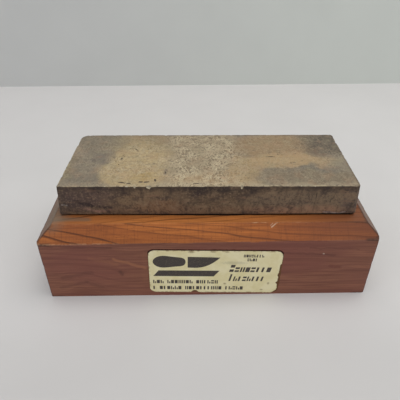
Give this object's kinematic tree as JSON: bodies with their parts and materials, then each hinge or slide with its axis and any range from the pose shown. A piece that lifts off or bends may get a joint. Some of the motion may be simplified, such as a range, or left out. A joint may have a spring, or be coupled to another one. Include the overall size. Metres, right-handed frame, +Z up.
{
  "type": "sharpening whetstone",
  "caption": "Rectangular natural oilstone bonded flat to the top of a heavy wooden block with chamfered upper edges and a paper label on one long side.",
  "frame": {"origin": "centre of the block's underside, where it stands on the bench", "axes": "+X along the stone's length, +Y away from the labelled side, +Z up through the stone"},
  "size_m": [0.174, 0.0852, 0.0631],
  "materials": {
    "cedar": "satin",
    "contact_cement": "matte",
    "oilstone": "matte",
    "label_gum": "matte",
    "label_paper": "matte"
  },
  "bodies": {
    "root": {"base_block": "cedar", "stone_adhesive": "contact_cement", "oilstone": "oilstone", "label_adhesive": "label_gum", "label": "label_paper"}
  },
  "joints": []
}
